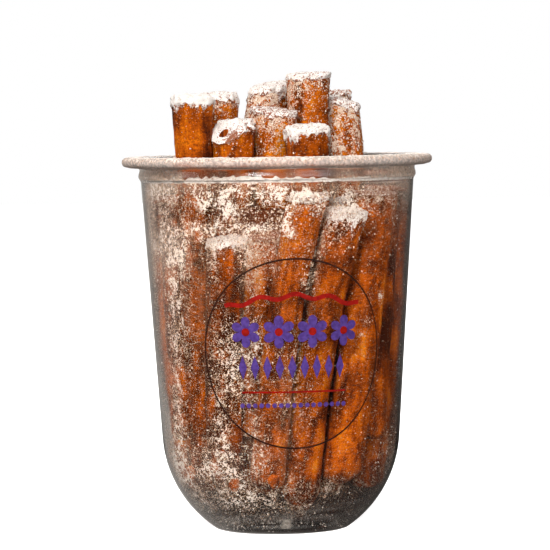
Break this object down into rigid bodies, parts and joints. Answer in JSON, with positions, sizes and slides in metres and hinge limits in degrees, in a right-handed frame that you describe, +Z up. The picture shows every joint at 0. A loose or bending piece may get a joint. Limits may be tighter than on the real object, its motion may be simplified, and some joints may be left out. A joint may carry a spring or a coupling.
{
  "type": "funnel cake fries in a cup",
  "caption": "Funnel cake fries dusted with icing sugar, standing upright in a clear round-bottomed plastic cup with a rolled lip.",
  "frame": {"origin": "centre of the cup's base, on the surface it stands on", "axes": "+Z up along the cup's axis, -Y towards the front with the print, +X to the right seen from the front"},
  "size_m": [0.095, 0.095, 0.1399],
  "materials": {
    "clear_plastic": "gloss",
    "fried_dough": "matte",
    "icing_sugar": "matte",
    "wall_print": "satin"
  },
  "bodies": {
    "root": {"cup": "clear_plastic", "fries": "fried_dough"}
  },
  "joints": []
}
